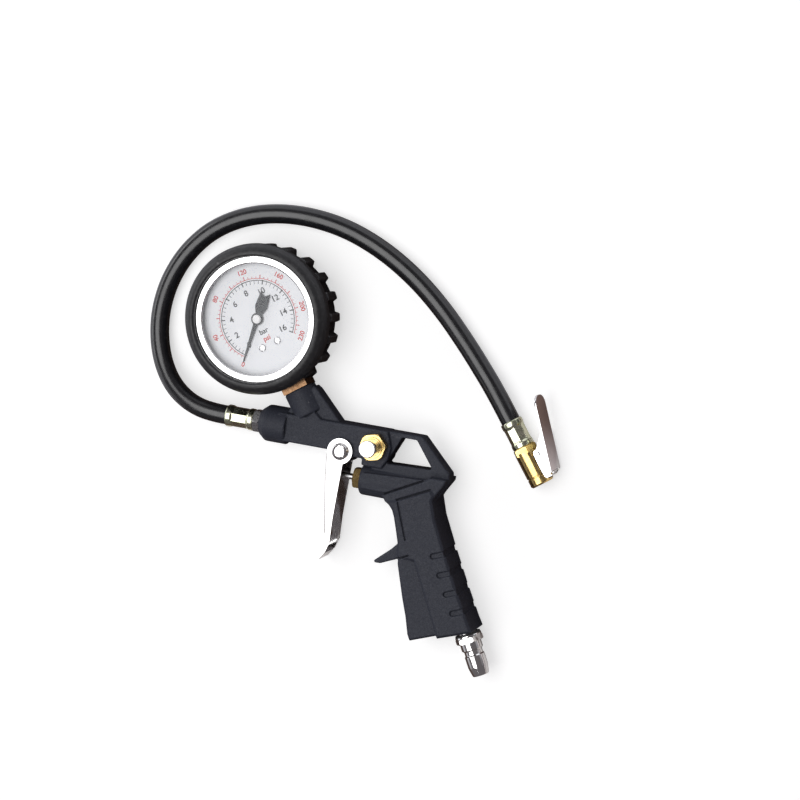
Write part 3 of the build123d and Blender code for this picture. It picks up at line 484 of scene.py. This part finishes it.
def boot_rubber():
    """Moulded rubber, satin, with fine pores, patches of pale dust and rubbed ridges."""
    s = Surface("boot_skin", (0.017, 0.017, 0.018), 0.45)
    dust = s.span(s.noise(0.003, 5.0, 0.65), 0.5, 0.8)
    base = s.mix(dust, (0.014, 0.014, 0.016), (0.035, 0.035, 0.038))
    s.feed("Base Color", s.mix(s.worn_edges(0.505, 0.56), base, (0.10, 0.10, 0.105)))
    s.feed("Roughness", s.span(s.noise(0.0015, 4.0), 0.3, 0.7, 0.36, 0.55))
    s.set("Specular IOR Level", 0.55)
    s.bump(s.noise(0.0006, 4.0, 0.6), 0.00003)
    s.bump(s.noise(0.007, 2.0), 0.00015)
    return s.material


def seal_rubber():
    """Plain matt rubber."""
    s = Surface("seal_skin", (0.025, 0.025, 0.026), 0.6)
    s.feed("Base Color", s.mix(s.noise(0.0015), (0.02, 0.02, 0.021), (0.04, 0.04, 0.04)))
    s.bump(s.noise(0.0004, 3.0), 0.00002)
    return s.material


def dial_face():
    """White enamel with the slightest unevenness."""
    s = Surface("dial_enamel", (0.91, 0.92, 0.94), 0.5)
    s.feed("Base Color", s.mix(s.noise(0.006, 3.0), (0.88, 0.90, 0.94), (0.93, 0.94, 0.96)))
    s.set("Specular IOR Level", 0.25)
    s.feed("Roughness", s.span(s.noise(0.002, 3.0), 0.3, 0.7, 0.38, 0.55))
    s.bump(s.noise(0.0005, 3.0), 0.000008)
    return s.material


def ink(name, colour):
    """Printed ink that lies on the dial."""
    s = Surface(name, colour, 0.5)
    s.set("Specular IOR Level", 0.15)
    paler = tuple(min(1, c + 0.03) for c in colour)
    s.feed("Base Color", s.mix(s.noise(0.0006, 2.0), colour, paler))
    s.feed("Roughness", s.span(s.noise(0.0008), 0.3, 0.7, 0.4, 0.6))
    return s.material


def lens_clear():
    """Clear window: a thin mirror film that is nearly all see-through, with smudges."""
    s = Surface("clear_window", (0.9, 0.92, 0.94), 0.03, 1.0)
    s.set("Alpha", 0.03)
    s.feed("Roughness", s.span(s.noise(0.006, 4.0, 0.6), 0.45, 0.8, 0.02, 0.12))
    return s.material


def painted(name, colour, roughness, gloss=0.5):
    """Thin paint on a small part."""
    s = Surface(name, colour, roughness)
    s.set("Specular IOR Level", gloss)
    paler = tuple(min(1, c * 1.15 + 0.01) for c in colour)
    s.feed("Base Color", s.mix(s.noise(0.0009, 3.0), colour, paler))
    s.feed("Roughness", s.span(s.noise(0.0012), 0.3, 0.7, roughness * 0.8, roughness * 1.2))
    s.bump(s.noise(0.0004, 2.0), 0.000008)
    return s.material


FINISH = {
    "coated_casting": coated_casting(),
    "chrome": chrome(),
    "steel": steel(),
    "bezel_plating": bezel_plating(),
    "brass": brass("machined_brass", (0.88, 0.66, 0.27), (0.62, 0.40, 0.14), 0.2),
    "stem_brass": brass("coppery_brass", (0.29, 0.17, 0.095), (0.17, 0.09, 0.045), 0.3),
    "spring_bronze": brass("drawn_bronze", (0.66, 0.44, 0.24), (0.45, 0.28, 0.14), 0.3),
    "ferrule_zinc": ferrule_zinc(),
    "hose_rubber": hose_rubber(),
    "boot_rubber": boot_rubber(),
    "seal_rubber": seal_rubber(),
    "dial_face": dial_face(),
    "lens_clear": lens_clear(),
    "pointer_black": painted("pointer_paint", (0.010, 0.011, 0.014), 0.55, 0.12),
    "hub_white": painted("hub_paint", (0.86, 0.86, 0.86), 0.35),
}
BLACK_INK = ink("black_ink", (0.012, 0.012, 0.014))
RED_INK = ink("red_ink", (0.62, 0.035, 0.03))


def dress(piece, slot):
    """Give a piece one finish on all its faces."""
    piece.data.materials.clear()
    piece.data.materials.append(FINISH[slot])


SLOT_OF = {part["node"]: part["material_slot"] for part in frame["record"]["subparts"]}
for name, node in NODES.items():
    dress(node, SLOT_OF[name])
dress(hose, "hose_rubber")

# ---------------------------------------------------------------- mesh helpers
SAME_PLACE = 1e-7  # corners nearer than this are one
JOIN_GAP = 1e-6  # and so are corners of two CAD faces
FLAT_ANGLE = radians(0.4)
EDGE_ANGLE = radians(28)
EDGE_STEPS = 2


def smooth_faces(mesh):
    mesh.polygons.foreach_set("use_smooth", [True] * len(mesh.polygons))


def weighted_normals(piece):
    piece.modifiers.new("even_normals", "WEIGHTED_NORMAL").keep_sharp = True


def new_piece(name, mesh, body, slot, *nodes):
    """Link a mesh as a piece that rides on a body and may stand for CAD nodes."""
    piece = bpy.data.objects.new(name, mesh)
    bpy.context.collection.objects.link(piece)
    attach(piece, body)
    if nodes:
        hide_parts(*nodes)
    dress(piece, slot)
    smooth_faces(mesh)
    return piece


def grid_mesh(name, rows, columns, point):
    """Closed surface from a grid that wraps both ways: point(row, column) gives each place."""
    bm = bmesh.new()
    grid = [[bm.verts.new(point(r, c)) for c in range(columns)] for r in range(rows)]
    for r in range(rows):
        for c in range(columns):
            after, beside = (r + 1) % rows, (c + 1) % columns
            bm.faces.new((grid[r][c], grid[r][beside], grid[after][beside], grid[after][c]))
    bmesh.ops.remove_doubles(bm, verts=bm.verts, dist=SAME_PLACE)
    bmesh.ops.dissolve_degenerate(bm, edges=bm.edges, dist=SAME_PLACE)
    bmesh.ops.recalc_face_normals(bm, faces=bm.faces)
    mesh = bpy.data.meshes.new(name)
    bm.to_mesh(mesh)
    bm.free()
    return mesh


def rounded(points, radius, steps=4):
    """Closed outline (mm) with each corner off the axis rounded by up to radius."""
    result = []
    count = len(points)
    for index, here in enumerate(points):
        before, after = points[index - 1], points[(index + 1) % count]
        if here[0] < 1e-6:
            result.append(here)
            continue
        back = Vector(before) - Vector(here)
        ahead = Vector(after) - Vector(here)
        cut = min(radius, 0.45 * back.length, 0.45 * ahead.length)
        start = Vector(here) + back.normalized() * cut
        end = Vector(here) + ahead.normalized() * cut
        for step in range(steps + 1):
            t = step / steps
            mid = start * (1 - t) ** 2 + Vector(here) * (2 * t * (1 - t)) + end * t**2
            result.append(tuple(mid))
    return result


def lathe(name, outline, columns, place, swell=None):
    """Turned mesh: outline is (radius, height) in mm, place the frame whose Z is the axis."""
    def point(row, column):
        radius, height = outline[row]
        angle = tau * column / columns
        if swell:
            radius = swell(radius, height, angle)
        return place @ (Vector((radius * cos(angle), radius * sin(angle), height)) * MM)

    return grid_mesh(name, len(outline), columns, point)


def frame_of(origin, x_axis, y_axis):
    """Placing matrix from an origin and two axes at right angles."""
    z_axis = x_axis.cross(y_axis)
    turn = Matrix((x_axis, y_axis, z_axis)).transposed().to_4x4()
    return Matrix.Translation(origin) @ turn


def polish(name, width):
    """Join a CAD node's split faces, round its edges by width (mm) and shade it smoothly."""
    node = NODES[name]
    if "custom_normal" in node.data.attributes:
        node.data.attributes.remove(node.data.attributes["custom_normal"])
    smooth_faces(node.data)
    node.modifiers.new("join", "WELD").merge_threshold = JOIN_GAP
    flat = node.modifiers.new("flat_faces", "DECIMATE")
    flat.decimate_type = "DISSOLVE"
    flat.angle_limit = FLAT_ANGLE
    edge = node.modifiers.new("round_edges", "BEVEL")
    edge.width = width * MM
    edge.segments = EDGE_STEPS
    edge.limit_method = "ANGLE"
    edge.angle_limit = EDGE_ANGLE
    edge.use_clamp_overlap = True
    weighted_normals(node)


# ---------------------------------------------------------------- frames of the sub-assemblies
def middle(node):
    low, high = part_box(node)
    return (low + high) / 2


GAUGE_TURN = radians(35)  # dial's 3 o'clock, from +X
gauge_centre = middle("gauge_bezel")
gauge_centre.z = DRAWING_ORIGIN.z
GAUGE = Matrix.Translation(gauge_centre) @ Matrix.Rotation(GAUGE_TURN, 4, "Z")

CHUCK_PIN = Vector((20.8, 0, 7.2)) * MM  # the lever's pin in the chuck's frame
chuck_x = -Vector(JOINTS["core_pusher_slide"]["axis"])
chuck_y = -Vector(JOINTS["clip_lever_hinge"]["axis"])
CHUCK = frame_of(Vector((0, 0, 0)), chuck_x, chuck_y)
CHUCK = Matrix.Translation(Vector(JOINTS["clip_lever_hinge"]["pos_m"]) - CHUCK @ CHUCK_PIN) @ CHUCK
ALONG_X = Matrix(((0, 0, 1, 0), (0, 1, 0, 0), (-1, 0, 0, 0), (0, 0, 0, 1)))  # a Z axis laid along X


# ---------------------------------------------------------------- casting
SKIN_CELL, QUICK_SKIN_CELL = 0.28, 0.45  # mm
RELAX_PASSES, QUICK_RELAX_PASSES = 3, 2
KEPT_FACES = 0.35


def make_casting():
    """The CAD casting with soft cast edges in place of its sharp ones."""
    mesh = NODES["gun_body"].data.copy()
    raw = bpy.data.objects.new("raw_casting", mesh)
    bpy.context.collection.objects.link(raw)
    raw.modifiers.new("join", "WELD").merge_threshold = JOIN_GAP
    skin = raw.modifiers.new("skin", "REMESH")
    skin.mode = "VOXEL"
    skin.voxel_size = SKIN_CELL * MM
    relax = raw.modifiers.new("relax", "SMOOTH")
    relax.factor = 0.5
    relax.iterations = RELAX_PASSES
    raw.modifiers.new("thin", "DECIMATE").ratio = KEPT_FACES
    graph = bpy.context.evaluated_depsgraph_get()
    soft = bpy.data.meshes.new_from_object(raw.evaluated_get(graph))
    bpy.data.objects.remove(raw)
    soft.name = "cast_body"
    piece = new_piece("cast_body", soft, "gun", "coated_casting", "gun_body")
    weighted_normals(piece)


make_casting()

# ---------------------------------------------------------------- gauge
# Sizes in mm, in the dial's frame: its axis is Z, and heights are from the tool's mid-plane.
BOOT_R = 34.8
BOOT_OUTLINE = [
    (0, -12.5), (32.4, -12.5), (34.1, -11.7), (BOOT_R, -9.9), (BOOT_R, -7.6), (BOOT_R, 8.4),
    (38.3, 10), (38.9, 12.5), (38.6, 15.5), (37.2, 18.2), (35.2, 19.7), (33.6, 20.0),
    (32.7, 19.6), (32.4, 18.8), (32.4, 17.1), (34.65, 17.1), (34.65, 10.4), (33.62, 10.4),
    (33.62, -9.6), (0, -9.6),
]
RIDGES = 21
RIDGE_COLUMNS = 24
RIDGE_RISE = 3.6
RIDGE_HALF = 3.4  # half width at a ridge's foot
RIDGE_SLOPE = 1.9
RIDGE_LOW, RIDGE_LOW_SLOPE = -7.6, 1.4
RIDGE_HIGH, RIDGE_HIGH_SLOPE = 8.6, 1.2
BEZEL_OUTLINE = [
    (28.6, 16.15), (28.6, 16.6), (29.1, 17.05), (31.6, 17.3), (33.6, 17.0), (34.6, 16.4),
    (34.6, 10.5), (33.62, 10.5), (33.62, 16.15),
]
BEZEL_COLUMNS = 240
HUB_OUTLINE = [
    (0.72, 13.12), (2.3, 13.12), (2.3, 13.7), (1.9, 14.15), (0, 14.2), (0, 13.72), (0.72, 13.72),
]
HUB_COLUMNS = 64


def split_long(points, longest):
    """Add points on the outline's long runs, so that the ridges have rows to rise on."""
    result = []
    for here, after in zip(points, points[1:] + points[:1]):
        parts = max(1, round(hypot(after[0] - here[0], after[1] - here[1]) / longest))
        if min(here[0], after[0]) == 0:
            parts = 1  # flat discs need no rows
        for part in range(parts):
            t = part / parts
            result.append((here[0] + (after[0] - here[0]) * t, here[1] + (after[1] - here[1]) * t))
    return result


def ease(value):
    """Smooth step from 0 to 1."""
    value = max(0.0, min(1.0, value))
    return value * value * (3 - 2 * value)


def boot_swell(radius, height, angle):
    """Radius of the boot: its wall carries round-topped ridges."""
    if radius < BOOT_R - 0.3 or height > RIDGE_HIGH:
        return radius
    across = (angle * RIDGES / tau % 1 - 0.5) * tau / RIDGES * BOOT_R
    crest = ease((RIDGE_HALF - abs(across)) / RIDGE_SLOPE)
    low_end = ease((height - RIDGE_LOW) / RIDGE_LOW_SLOPE)
    high_end = ease((RIDGE_HIGH - height) / RIDGE_HIGH_SLOPE)
    return radius + RIDGE_RISE * crest * (low_end * high_end)


def make_boot():
    """Rubber boot: rolled front rim and moulded ridges.  The stem passes through its wall."""
    outline = split_long(rounded(BOOT_OUTLINE, 0.7, 3), 0.7)
    mesh = lathe("rubber_boot", outline, RIDGES * RIDGE_COLUMNS, GAUGE, boot_swell)
    piece = new_piece("rubber_boot", mesh, "gun", "boot_rubber", "gauge_boot")
    weighted_normals(piece)


def make_bezel():
    """Rolled and polished ring round the window."""
    outline = split_long(rounded(BEZEL_OUTLINE, 0.35), 0.8)
    mesh = lathe("rolled_bezel", outline, BEZEL_COLUMNS, GAUGE)
    new_piece("rolled_bezel", mesh, "gun", "bezel_plating", "gauge_bezel")


PRINT_TOP = 11.93  # ink lies just over the dial's face
PRINT_LOW = 11.88
PRINT_JOIN = 1e-5
SCALE_START = radians(-136)  # zero mark, then clockwise
SCALE_SWEEP = radians(270)
ARC_STEPS = 90
ARC_OVERLAP = 0.02  # share of a step, so that no gap shows between two
LETTER_SIZE = 1.38  # font size for a letter 1 high
LETTER_SWELL = 0.09


def on_scale(share):
    """Angle in the dial's plane at a share of full scale."""
    return SCALE_START - SCALE_SWEEP * share


def flat_bar(bm, start, end, width):
    """Thin printed bar between two points of the dial, in mm."""
    run = Vector(end) - Vector(start)
    side = Vector((-run.y, run.x)).normalized() * width / 2
    flat = [Vector(start) + side, Vector(start) - side, Vector(end) - side, Vector(end) + side]
    low = [bm.verts.new((*p, PRINT_LOW)) for p in flat]
    high = [bm.verts.new((*p, PRINT_TOP)) for p in flat]
    bm.faces.new(low[::-1])
    bm.faces.new(high)
    for index in range(4):
        after = (index + 1) % 4
        bm.faces.new((low[index], low[after], high[after], high[index]))


def polar(radius, angle):
    return (radius * cos(angle), radius * sin(angle))


def printed_arc(bm, radius, width):
    """Line along the whole scale."""
    for index in range(ARC_STEPS):
        first = on_scale(index / ARC_STEPS)
        last = on_scale((index + 1 + ARC_OVERLAP) / ARC_STEPS)
        flat_bar(bm, polar(radius, first), polar(radius, last), width)


def printed_ticks(bm, count, long_every, inner, short, long, widths):
    """Marks along the scale; every long_every-th one is longer and bolder."""
    for index in range(count + 1):
        angle = on_scale(index / count)
        is_long = index % long_every == 0
        reach = long if is_long else short
        flat_bar(bm, polar(inner, angle), polar(inner + reach, angle), widths[1 if is_long else 0])


def printed_text(bm, text, height, place, turn):
    """Words or numbers in the dial's plane, centred on place."""
    curve = bpy.data.curves.new("word", "FONT")
    curve.body = text
    curve.size = height * LETTER_SIZE
    curve.align_x = "CENTER"
    curve.align_y = "CENTER"
    curve.extrude = (PRINT_TOP - PRINT_LOW) / 2
    curve.offset = LETTER_SWELL
    word = bpy.data.objects.new("word", curve)
    mesh = bpy.data.meshes.new_from_object(word)
    centre = Matrix.Translation((*place, (PRINT_TOP + PRINT_LOW) / 2))
    mesh.transform(centre @ Matrix.Rotation(turn, 4, "Z"))
    bm.from_mesh(mesh)
    bpy.data.objects.remove(word)
    bpy.data.meshes.remove(mesh)


def finish_print(bm, name, ink_material):
    """Turn printed shapes into a piece on the dial."""
    bmesh.ops.remove_doubles(bm, verts=bm.verts, dist=PRINT_JOIN)
    bmesh.ops.recalc_face_normals(bm, faces=bm.faces)
    mesh = bpy.data.meshes.new(name)
    bm.to_mesh(mesh)
    bm.free()
    mesh.transform(GAUGE @ Matrix.Scale(MM, 4))
    piece = new_piece(name, mesh, "gun", "dial_face")
    mesh.polygons.foreach_set("use_smooth", [False] * len(mesh.polygons))
    piece.data.materials.clear()
    piece.data.materials.append(ink_material)


BAR_FULL, PSI_FULL = 16, 230
BAR_VALUES, PSI_VALUES = range(0, BAR_FULL + 1, 2), (0, 40, 80, 120, 160, 200, PSI_FULL)
BAR_TICKS, BAR_LONG_EVERY = 40, 5
PSI_TICKS, PSI_LONG_EVERY = 46, 4
BAR_RADIUS, PSI_RADIUS = 14.3, 25.0  # where the figures stand
BAR_WORD_AT, PSI_WORD_AT = (0.0, -7.0), (0.0, -10.9)
TURNED_BELOW = -0.3  # sine of the angle below which a red figure's foot points outward


def make_print():
    """Black bar scale inside, red psi scale outside, and the two unit words."""
    black = bmesh.new()
    printed_ticks(black, BAR_TICKS, BAR_LONG_EVERY, 17.9, 1.5, 2.3, (0.28, 0.55))
    printed_arc(black, 19.8, 0.42)
    for value in BAR_VALUES:
        printed_text(black, str(value), 3.1, polar(BAR_RADIUS, on_scale(value / BAR_FULL)), 0)
    printed_text(black, "bar", 2.7, BAR_WORD_AT, 0)
    finish_print(black, "dial_print_black", BLACK_INK)

    red = bmesh.new()
    printed_ticks(red, PSI_TICKS, PSI_LONG_EVERY, 20.8, 1.1, 1.9, (0.26, 0.46))
    printed_arc(red, 20.8, 0.32)
    for value in PSI_VALUES:
        angle = on_scale(value / PSI_FULL)
        turn = angle + (pi if sin(angle) < TURNED_BELOW else 0) - pi / 2
        printed_text(red, str(value), 2.5, polar(PSI_RADIUS, angle), turn)
    printed_text(red, "psi", 2.6, PSI_WORD_AT, 0)
    finish_print(red, "dial_print_red", RED_INK)


def make_hub():
    """White cap with a softly domed top."""
    mesh = lathe("hub_cap", rounded(HUB_OUTLINE, 0.25), HUB_COLUMNS, GAUGE)
    new_piece("hub_cap", mesh, "pointer", "hub_white", "pointer_hub")


make_boot()
make_bezel()
make_print()
make_hub()

# ---------------------------------------------------------------- crimped ferrules
CRIMP_FLATS = 8
FLAT_COLUMNS = 16
BORE_R = 5.15  # mm; what is nearer the axis belongs to the sleeve's inside
FLAT_R = 5.02  # to the middle of a flat
CORNER_R = 5.42
MOUTH_ROUND, MOUTH_SLOPE = 2.6, 1.6  # length left round at the mouth, and the crimp's run-in
END_ROUND, END_SLOPE = 2.4, 1.4


def crimped(length):
    """Swell that squeezes a ferrule's middle to eight flats."""
    def swell(radius, height, angle):
        if radius < BORE_R:
            return radius
        from_mouth = ease((height - MOUTH_ROUND) / MOUTH_SLOPE)
        from_end = ease((length - END_ROUND - height) / END_SLOPE)
        step = tau / CRIMP_FLATS
        turn = (angle + step / 2) % step - step / 2
        flat = FLAT_R / cos(turn)
        return radius + (min(flat, CORNER_R) - radius) * (from_mouth * from_end)

    return swell


def make_ferrule(name, length, place, node):
    """Crimped sleeve, length mm long, from its mouth to its closed end."""
    outline = [
        (5.03, 0), (5.5, 0), (5.78, 0.5), (5.78, 2.4), (5.45, 3.8), (5.45, length - 3.6),
        (5.78, length - 2.5), (5.78, length - 0.5), (5.45, length), (3.32, length),
        (3.32, length - 1.2), (5.03, length - 1.2),
    ]
    outline = split_long(rounded(outline, 0.4), 0.35)
    columns = CRIMP_FLATS * FLAT_COLUMNS
    mesh = lathe(name, outline, columns, place @ ALONG_X, crimped(length))
    return new_piece(name, mesh, "gun", "ferrule_zinc", node)


gun_exit = Matrix.Translation(Vector(HOSE_ROUTE[0]) + DRAWING_ORIGIN)
make_ferrule("crimp_sleeve_gun", 15.2, gun_exit, "gun_ferrule")
chuck_sleeve = make_ferrule("crimp_sleeve_chuck", 14.6, CHUCK, "chuck_ferrule")

# ---------------------------------------------------------------- rounded edges on CAD nodes
EDGE_WIDTHS = {  # mm
    "hose_tail": 0.2, "inlet_plug": 0.15, "valve_gland": 0.2, "bleed_nut": 0.25, "bleed_button": 0.1,
    "trigger_lever": 0.35, "trigger_rivet": 0.3, "gauge_stem": 0.4, "chuck_body": 0.18,
    "chuck_lever": 0.4, "lever_pin": 0.12, "gauge_pointer": 0.08, "dial_screws": 0.08,
    "valve_stem": 0.1, "gauge_case": 0.2,
}
for name, width in EDGE_WIDTHS.items():
    polish(name, width)
